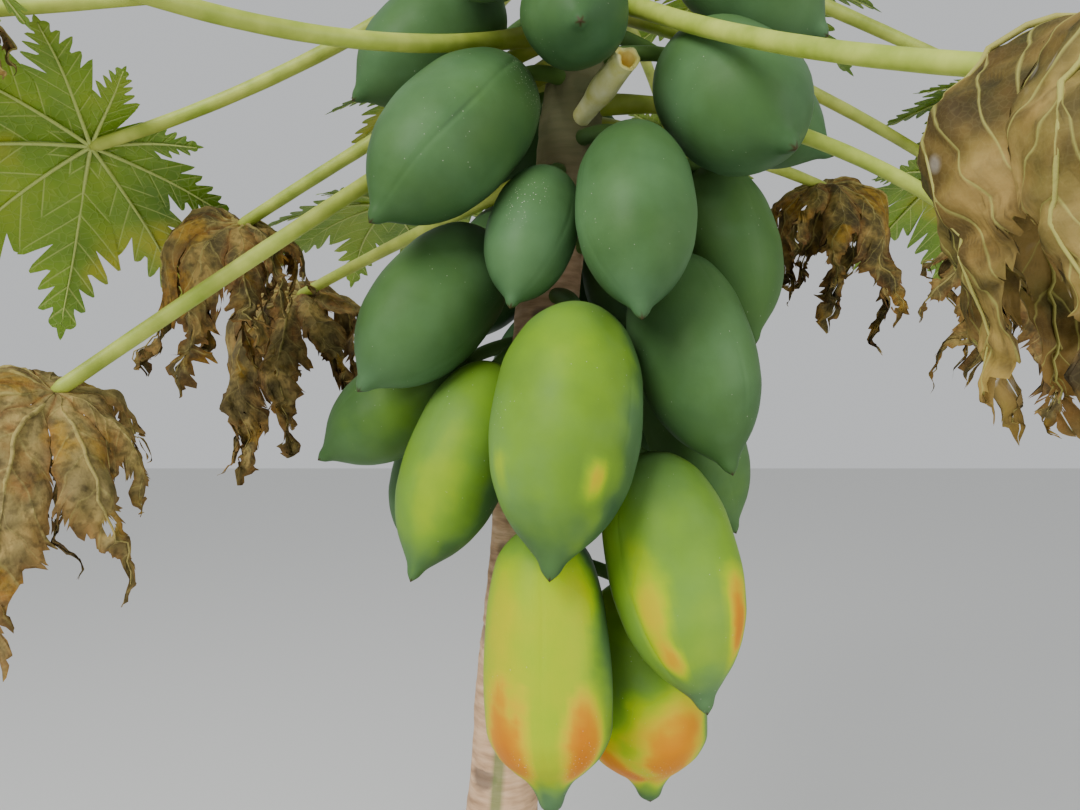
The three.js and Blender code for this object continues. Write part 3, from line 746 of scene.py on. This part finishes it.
def make_fruit(name, material, seed):
    profile = "blunt" if name in BLUNT_FRUITS else "plump"
    stalk, tip, length, girth = fruit_place(name, profile)
    along = unit(tip - stalk)
    front = np.array(CAMERA_PLACE) / METRES - (stalk + tip) / 2
    front = unit(front - along * np.dot(front, along))
    right = np.cross(along, front)
    right *= -1 if right[0] < 0 else 1
    rng = np.random.default_rng(seed)
    rows = PATCHED_ROWS if name in PATCHES or name in SPECKLED else PLAIN_ROWS
    ends = 0.5 - 0.5 * np.cos(np.linspace(0, math.pi, rows))
    shares = np.clip(mix(ends, np.linspace(0, 1, rows), ROW_EVENNESS), *END_ROWS)
    crease, depth = CREASES.get(name, (rng.uniform(-1, 1) * GROOVE.sector, GROOVE.depth))
    groove_at = math.radians(crease)
    beside = groove_at + np.array(GROOVE.columns) / (girth / 2)
    angles = np.sort(np.concatenate([even_angles(FRUIT_COLUMNS), beside % (2 * math.pi)]))
    share, angle = np.meshgrid(shares, angles, indexing="ij")
    radius = profile_radius(FRUIT_PROFILES[profile], share) * girth / 2
    belly = smooth(share / BELLY[0]) * dying_out(share, 1, BELLY[1])
    ribs = np.cos(FRUIT_RIBS.count * angle + rng.uniform(0, 2 * math.pi))
    radius *= 1 + belly * FRUIT_RIBS.height * (ribs - FRUIT_RIBS.middle)
    radius *= 1 + LOPSIDED * belly * np.cos(angle + rng.uniform(0, 2 * math.pi))
    wander = GROOVE.wander * np.sin(share * GROOVE.wander_pitch + crease)
    groove = (turned_by(angle, groove_at) * radius + wander) / GROOVE.half_width
    mean, swing = GROOVE.fading
    fading = mean + swing * np.sin(share * GROOVE.fade_pitch + crease)
    radius -= depth * belly * fading * hill(groove)
    out = ways_round(angle, front, right)
    skin = stalk + share[..., None] * (tip - stalk) + out * radius[..., None]
    flat = skin.reshape(-1, 3)
    edge = sum(amount * wobble(flat, size, (seed, size)) for size, amount in PATCH_EDGES)
    edge = edge.reshape(share.shape)

    def patch(at, turn, half_length, half_width):
        off_round = np.degrees(turned_by(angle, math.radians(turn))) / half_width
        off_round = np.where(half_width >= 180, 0, off_round)
        off = np.hypot((share - at) / half_length, off_round)
        return dying_out(off, PATCH_REACH + edge, PATCH_SOFTNESS)

    # Painted light: the side that faces the camera is made riper, so lighter and yellower
    in_front = smooth((np.cos(angle) + FRONT_BEYOND) / (1 + FRONT_BEYOND))
    ripe = RIPENESS.get(name, GREEN_RIPENESS) + PAINTED_FRONT_LIGHT * in_front * belly
    for *place, change in PATCHES.get(name, []):
        ripe = ripe + change * patch(*place)
    speckled = sum((patch(*place) for place in SPECKLED.get(name, [])), np.zeros_like(share))
    star = 0.5 + 0.5 * np.cos(TIP_SCAR.points * angle)
    scar_reach = TIP_SCAR.reach + TIP_SCAR.point_reach * star
    scar = TIP_SCAR.darkness * dying_out((1 - share) * length, scar_reach, TIP_SCAR.edge)
    scar = np.maximum(scar, STALK_SCAR.darkness * dying_out(share * length, *STALK_SCAR.at))
    joined = Joined()
    faces = capped_faces(rows, len(angles))
    joined.add(flat, faces, ripe=ripe.ravel(), scar=scar.ravel(), speckled=speckled.ravel())
    size = min(1, girth / STALK.full_size_girth)
    foot = trunk_centre(stalk[2] + STALK.rise * size)
    bend = mix(foot, stalk, STALK.bend_share)
    bend[2] = foot[2]
    end = stalk + along * STALK.sink
    steps = np.linspace(0, 1, STALK.rows)
    collar = STALK.collar * coming_in(steps, *STALK.collar_at)
    radii = size * (mix(STALK.trunk_radius, STALK.fruit_radius, steps) + collar)
    points, faces = tube(bezier(foot, bend, end, steps), radii, STALK.columns)
    joined.add(points, faces, ripe=STALK.ripe, scar=STALK.scar, speckled=0)
    slot = "turning_fruit" if name in TURNING_FRUITS else "green_fruit"
    joined.piece(name + "_skin", material, [name], slot)


# Leaves


def petiole_radius(share):
    swollen = 1 - smooth(share / PETIOLE.swollen_share)
    swelling = (PETIOLE.base_radius - PETIOLE.mid_radius) * swollen
    return mix(PETIOLE.mid_radius, PETIOLE.hub_radius, share) + swelling


def leaf_of(name, habit, foot, turn, run, rise, arch, reach, pitch, roll, twist=0):
    start = trunk_centre(foot)
    hub = start + heading(turn) * run + UP * rise
    bend = (start + hub) / 2 + UP * arch
    onward = heading(turn + twist) * math.cos(math.radians(pitch)) - UP * math.sin(math.radians(pitch))
    left = heading(turn + twist + 90)
    tilt = math.radians(roll)
    left = left * math.cos(tilt) + np.cross(onward, left) * math.sin(tilt)
    axes = (onward, left, np.cross(onward, left))
    return Values(name=name, habit=habit, start=start, bend=bend, hub=hub, reach=reach, axes=axes)


# Leaves in a row up the trunk, from a rule's first values to its last ones
def leaf_row(title, rule, turns, habits):
    leaves = []
    for i, (turn, habit) in enumerate(zip(turns, habits)):
        share = i / (rule.count - 1)
        pairs = (rule.run, rule.rise, rule.reach, rule.pitch)
        run, rise, reach, pitch = (mix(*pair, share) for pair in pairs)
        foot = rule.base_height + i * rule.climb
        name = f"leaf_{title}_{i + 1}"
        leaves.append(leaf_of(name, habit, foot, turn, run, rise, rule.arch, reach, pitch, 0))
    return leaves


def all_leaves():
    far = FAR_LEAVES
    steps = [(far.first_share + i * GOLDEN_SHARE) % 1 for i in range(far.count)]
    far_turns = [far.sector_start + far.sector * step for step in steps]
    far_habits = ["dried"] + ["green"] * (far.count - 1)
    upper = UPPER_LEAVES
    upper_turns = [upper.first_turn + i * GOLDEN_ANGLE for i in range(upper.count)]
    leaves = [leaf_of(*values) for values in SEEN_LEAVES]
    leaves += leaf_row("far", far, far_turns, far_habits)
    return leaves + leaf_row("upper", upper, upper_turns, ["green"] * upper.count)


# Run, fall and slope at distances from the hub: an even bend first, then straight on. The more a
# lobe points back along the petiole, the less it rises at the hub, and the steeper its tip hangs,
# the less the tilt of the blade's own plane changes how it hangs.
def midrib(habit, reach, bearing, tilt, distance):
    onwards = ((1 + np.cos(bearing)) / 2) ** 2
    start = math.radians(habit.slopes[0]) * onwards
    end = math.radians(habit.slopes[1]) - tilt * (habit.slopes[1] / 90) ** 2
    bend = reach * habit.bend_share
    curved = np.minimum(distance, bend)
    straight = distance - curved
    slope = mix(start, end, curved / bend)
    radius = bend / (end - start)
    run = radius * (np.sin(slope) - np.sin(start)) + straight * np.cos(end)
    fall = radius * (np.cos(start) - np.cos(slope)) + straight * np.sin(end)
    return run, fall, slope


# Stations along a midrib, as shares, with close ones at each side vein
def lobe_stations(count):
    veins = [station for station, _ in SIDE_PEAKS] + INNER_VEINS
    half = VEIN.half_width
    clear = VEIN.clear * half
    even = np.linspace(0, 1, count)
    stations = [station for station in even if min(abs(station - vein) for vein in veins) > clear]
    for vein in veins:
        stations += [vein - half, vein, vein + half]
    stations = np.array(sorted(stations))
    return stations, np.isin(stations, veins).astype(float)


# How far half a lobe reaches from each station along its side veins, as shares of its length
def half_outline(habit, gap, stations, rng):
    to_bisector = math.sin(gap) / math.sin(SIDE_VEIN_ANGLE - gap)
    sinus = habit.sinus * math.sin(SIDE_VEIN_ANGLE - gap) / math.sin(SIDE_VEIN_ANGLE)
    marks = [(place, reach * habit.peak) for place, reach in SIDE_PEAKS if place > sinus]
    marks += [(place, reach * habit.notch) for place, reach in SIDE_NOTCHES if place > sinus]
    marks = [(sinus, to_bisector * sinus), *sorted(marks), (1, 0)]
    places, reaches = np.array(marks).T
    reaches[1:] *= rng.uniform(*REACH_SPREAD, len(reaches) - 1)
    spot = np.interp(stations, places, np.arange(len(places)))
    outline = np.interp(stations, places, reaches)
    steps = np.abs(np.diff(reaches, append=0))[spot.astype(int)]
    outline += OUTLINE_BULGE * steps * np.sin(spot % 1 * math.pi)
    beyond = stations > sinus
    ragged = RAGGED.dried if habit.crumple else RAGGED.fresh
    outline *= 1 + beyond * ragged * np.sin(stations * RAGGED.pitch + rng.uniform(0, LATEST_PHASE))
    outline *= 1 - beyond * habit.torn * rng.uniform(0, RAGGED.torn, len(stations))
    return np.minimum(outline, stations * to_bisector)


# Moves the points of a dried blade about, more towards the tips of its lobes
def crumpled(points, outer, crumple, seed):
    strength = crumple * mix(HUB_CRUMPLE, 1, outer.reshape(-1, 1))
    for size, height in CRUMPLES:
        shift = np.stack([wobble(points, size, (seed, size, axis)) for axis in range(3)], axis=1)
        points = points + strength * height * shift
    return points


# Points in space from places along and across a lobe, lifted off the blade, swayed and let down,
# and crumpled where the blade is dry
def hung(leaf, lobe, along, across, lift, outer, seed):
    habit = HABITS[leaf.habit]
    onward, left, face = leaf.axes
    across = across + lobe.sway * lobe.length * outer**2
    bearing = math.radians(lobe.turn) + np.arctan2(across, np.maximum(along, 0.001))
    tilt = -np.arcsin(onward[2] * np.cos(bearing) + left[2] * np.sin(bearing))
    run, fall, slope = midrib(habit, leaf.reach, bearing, tilt, np.hypot(along, across))
    out = run + lift * np.sin(slope)
    height = lift * np.cos(slope) - fall - lobe.droop * leaf.reach * outer**2
    turned = [(out * np.cos(bearing), onward), (out * np.sin(bearing), left), (height, face)]
    points = leaf.hub + sum(amount.reshape(-1, 1) * way for amount, way in turned)
    return crumpled(points, outer, habit.crumple, seed) if habit.crumple else points


# How deep each point of a grid lies in a fold, from 0 to 1, which sets the painted shade in the
# folds: how far the points beside it, some steps along and across, stand up from it
def hollows(points, rows, columns):
    grid = points.reshape(rows, columns, 3)
    du = np.gradient(grid, axis=0)
    dv = np.gradient(grid, axis=1)
    normal = np.cross(du, dv)
    normal /= np.maximum(np.linalg.norm(normal, axis=2, keepdims=True), 1e-6)
    depth = np.zeros((rows, columns))
    for step in FOLD_SHADE_STEPS:
        padded = np.pad(grid, ((step, step), (step, step), (0, 0)), mode="edge")
        middle = slice(step, -step)
        around = padded[: -2 * step, middle] + padded[2 * step :, middle]
        around = around + padded[middle, : -2 * step] + padded[middle, 2 * step :]
        depth += ((around / 4 - grid) * normal).sum(axis=2)
    return smooth(np.abs(depth) / FOLD_SHADE_DEPTH).ravel()


# How far a place on a lobe is on its way from where the lobes part to the lobe's tip, eased
def outer_share(habit, along, across, length):
    return coming_in(np.hypot(along, across) / length, habit.sinus, OUTER_OVER)


# The faces that hang together with the points reached so far, so that no scrap floats beside them
def hanging_on(faces, reached):
    while True:
        touched = reached[faces].any(axis=1)
        grown = reached.copy()
        grown[faces[touched]] = True
        if np.array_equal(grown, reached):
            return faces[touched]
        reached = grown


# Points, faces and named values of one side of a lobe
def half_lobe(leaf, lobe, side, gap, rng, seed):
    habit = HABITS[leaf.habit]
    stations, on_vein = lobe_stations(habit.stations)
    columns = np.concatenate([FIRST_COLUMNS, np.linspace(EVEN_FROM, 1, habit.columns)])
    length = lobe.length
    outline = half_outline(habit, gap, stations, rng) * length
    station, column = np.meshgrid(np.arange(len(stations)), np.arange(len(columns)), indexing="ij")
    reach = columns[column] * outline[station]
    along = stations[station] * length + reach * math.cos(SIDE_VEIN_ANGLE)
    across = reach * math.sin(SIDE_VEIN_ANGLE)
    outer = outer_share(habit, along, across, length)
    lift = habit.fold * across + side * across * lobe.twist * outer
    ripple = np.sin(along / RIPPLE.pitch + rng.uniform(0, LATEST_PHASE)) * across / length * outer
    lift = lift + (RIPPLE.fresh + RIPPLE.dried * habit.crumple) * ripple
    pleats = np.sin(across / PLEAT_SPACING + rng.uniform(0, LATEST_PHASE))
    lift = lift + habit.pleat * pleats * outer
    drawn = across
    if habit.curl:
        curl = habit.curl * rng.uniform(*CURL.spread)
        drawn = curl * np.sin(across / curl)
        lift = lift - curl * (1 - np.cos(across / curl)) * mix(CURL.inner, 1, outer)
    points = hung(leaf, lobe, along, side * drawn, lift, outer, seed)
    vein = np.maximum(on_vein[station] * VEIN.side, column == 0)
    vein = (vein * np.where(column == len(columns) - 1, VEIN.margin, 1)).ravel()
    # How deep each point lies in a fold, for the painted shade of the folds
    hollow = hollows(points, len(stations), len(columns))
    swell = wobble(points, SWELL.size, seed) * SWELL.height
    points = points + leaf.axes[2] * (swell + vein * VEIN.raised)[:, None]
    faces = grid_faces(len(stations), len(columns), False)
    if habit.crumple:
        middles = points[faces].mean(axis=1)
        inner = outer.ravel()[faces].mean(axis=1) < HOLES.whole
        faces = faces[inner | (wobble(middles, HOLES.size, (seed, HOLES.seed)) < HOLES.rarity)]
        faces = hanging_on(faces, column.ravel() == 0)
    faces = faces if side > 0 else faces[:, ::-1]
    used, corners = np.unique(faces, return_inverse=True)
    fields = {"vein": vein, "age": outer.ravel(), "rim": columns[column].ravel(), "hollow": hollow}
    fields = {title: values[used] for title, values in fields.items()}
    return points[used], corners.reshape(faces.shape).tolist(), fields


# The raised rib under a lobe
def lobe_rib(leaf, lobe, seed):
    along = np.linspace(0, RIB.end_share, RIB.stations) * lobe.length
    outer = outer_share(HABITS[leaf.habit], along, 0, lobe.length)
    centre = hung(leaf, lobe, along, 0, -RIB.below, outer, seed)
    radii = mix(RIB.hub_radius, RIB.tip_radius, along / along[-1])
    return tube(centre, radii, RIB.sides)


def make_blade(leaf, material, slot, seed):
    habit = HABITS[leaf.habit]
    rng = np.random.default_rng(seed)
    lobes = [(-turn, share) for turn, share in reversed(LOBES[1:])] + LOBES
    papery = PAPERY.get(leaf.name, PLAIN_PAPERY)
    joined = Joined()
    for index, (turn, share) in enumerate(lobes):
        lobe = Values(turn=turn, length=leaf.reach * share)
        for way, (strength, least, most) in UNEVEN.items():
            setattr(lobe, way, strength * habit.uneven * rng.uniform(least, most))
        for side in (-1, 1):
            beyond = index + side
            is_last = not 0 <= beyond < len(lobes)
            gap = math.radians(LAST_GAP if is_last else abs(lobes[beyond][0] - turn) / 2)
            points, faces, fields = half_lobe(leaf, lobe, side, gap, rng, seed)
            joined.add(points, faces, papery=papery, **fields)
        points, faces = lobe_rib(leaf, lobe, seed)
        joined.add(points, faces, papery=papery, vein=1, age=0, rim=0, hollow=0)
    joined.piece(leaf.name + "_blade", material, [leaf.name], slot)


def make_petiole(leaf, material, seed):
    rng = np.random.default_rng(seed)
    shares = np.linspace(0, 1, PETIOLE.rows)
    points = bezier(leaf.start, leaf.bend, leaf.hub, shares)
    ripple = PETIOLE.ripple * np.sin(shares * PETIOLE.ripple_pitch)
    radii = petiole_radius(shares) * (1 + ripple)
    radii *= 1 - PETIOLE.neck * coming_in(shares, *PETIOLE.neck_at)
    skin, faces = tube(points, radii, PETIOLE.columns)
    at_foot = BLUSH.foot * (1 - smooth(shares / BLUSH.foot_share))
    blush = np.repeat(rng.uniform(0, BLUSH.most) + at_foot, PETIOLE.columns)
    blush = blush * np.clip(BLUSH.mean + BLUSH.swing * wobble(skin, BLUSH.size, seed), 0, 1)
    piece(leaf.name + "_petiole", skin, faces, material, [leaf.name], {"blush": blush})


# The foot of a cut petiole: a thick pale tube with a torn rim and a hollow
def make_cut_petiole(material):
    rule = CUT_PETIOLE
    foot = trunk_centre(rule.foot)
    end = foot + heading(rule.turn) * rule.run + UP * rule.rise
    along = unit(end - foot)
    shares = np.linspace(0, 1, rule.rows)
    outer = foot + (end - foot) * shares[:, None]
    inner = outer[::-1][: rule.bore_rows] - along * rule.bore_inset
    path = np.concatenate([outer, inner])
    waist = 1 - rule.waist * np.sin(shares * rule.waist_pitch)
    radii = rule.radius * waist * mix(*rule.collar, coming_in(shares, *rule.collar_at))
    bore = np.full(len(inner), rule.radius - rule.wall)
    bore = bore * np.linspace(1, rule.bore_narrows, len(inner))
    sides, ups = path_frames(outer)
    angles = even_angles(rule.columns)
    ring = ways_round(angles, sides[0], ups[0])
    torn = sum(height * np.sin(angles * count + turn) for height, count, turn in TORN_WAVES)
    skin = path[:, None] + ring[None] * np.concatenate([radii, bore])[:, None, None]
    depth = np.linalg.norm(path - end, axis=1)
    pull = np.exp(-depth / rule.torn_depth)[:, None] * (torn - rule.torn_back)[None]
    skin = (skin + pull[..., None] * along).reshape(-1, 3)
    inside = np.concatenate([np.zeros(len(radii)), np.linspace(rule.bore_colour, 1, len(bore))])
    faces = capped_faces(len(path), rule.columns)
    fields = {"inside": np.repeat(inside, rule.columns)}
    piece("cut_petiole_stub", skin, faces, material, ["cut_petiole"], fields)


def make_stage():
    mesh = bpy.data.meshes.new("floor")
    corners = [(-1, -1), (1, -1), (1, 1), (-1, 1)]
    mesh.from_pydata([(x * FLOOR_REACH, y * FLOOR_REACH, 0) for x, y in corners], [], [(0, 1, 2, 3)])
    mesh.materials.append(new_material("floor_paint", {"Base Color": FLOOR_COLOUR, "Roughness": 0.9}))
    floor = new_object("floor", mesh)
    world = bpy.data.worlds.new("studio")
    world.use_nodes = True
    sky = world.node_tree.nodes["Background"]
    sky.inputs["Color"].default_value = SKY_COLOUR
    sky.inputs["Strength"].default_value = SKY_STRENGTH
    bpy.context.scene.world = world


# A round lamp that points at the middle of the fruit column
def make_lamp(name, place, size, power):
    data = bpy.data.lights.new(name, "AREA")
    data.shape = "DISK"
    data.size = size
    data.energy = power
    lamp = new_object(name, data)
    lamp.location = place
    lamp.rotation_euler = (Vector(LAMP_TARGET) - lamp.location).to_track_quat("-Z", "Y").to_euler()


def make_camera():
    data = bpy.data.cameras.new("camera")
    data.lens = CAMERA_LENS
    data.sensor_width = CAMERA_SENSOR
    data.sensor_fit = "HORIZONTAL"
    data.clip_start = 0.01
    camera = new_object("camera", data)
    camera.location = CAMERA_PLACE
    camera.rotation_euler = (math.pi / 2, 0, 0)
    bpy.context.scene.camera = camera


make_camera()
make_stage()
for lamp_values in LAMPS:
    make_lamp(*lamp_values)

make_trunk(bark_material())
skin_material = fruit_material()
fruit_names = sorted(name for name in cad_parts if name.startswith("fruit_"))
for order, fruit_name in enumerate(fruit_names):
    make_fruit(fruit_name, skin_material, SEEDS.fruit + order)

petiole = petiole_material()
blade_materials = {"green": green_leaf_material(), "dried": dried_leaf_material()}
blade_materials.update(shut=blade_materials["dried"], near=near_leaf_material())
for order, leaf in enumerate(all_leaves()):
    leaf_slot = "green_leaf" if leaf.habit == "green" else "dried_leaf"
    make_petiole(leaf, petiole, SEEDS.petiole + order)
    make_blade(leaf, blade_materials[leaf.habit], leaf_slot, SEEDS.blade + order)
make_cut_petiole(cut_material())
